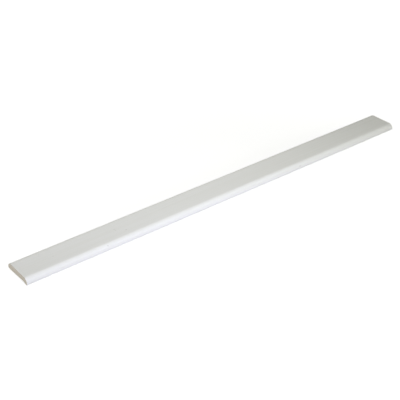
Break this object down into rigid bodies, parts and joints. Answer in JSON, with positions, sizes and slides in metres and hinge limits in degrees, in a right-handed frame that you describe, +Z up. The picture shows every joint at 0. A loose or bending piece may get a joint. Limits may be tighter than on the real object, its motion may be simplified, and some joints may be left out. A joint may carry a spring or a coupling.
{
  "type": "edge fillet trim",
  "caption": "Square-cut length of white extruded PVC-U trim: flat top, big quarter-round front edge, rounded back edge, and an underside hollowed between lip and heel.",
  "frame": {"origin": "on the floor under the middle of the strip: centre of the bounding box's bottom face", "axes": "+X along the strip, from the near cut end to the far one; +Y across it, from the quarter-round front edge to the back edge; +Z up, from the hollowed underside to the flat top"},
  "size_m": [0.55, 0.04, 0.008],
  "materials": {
    "pvc": "extruded white PVC-U, satin skin, with sawn cellular ends"
  },
  "bodies": {
    "root": {"fillet_strip": "pvc"}
  },
  "joints": []
}
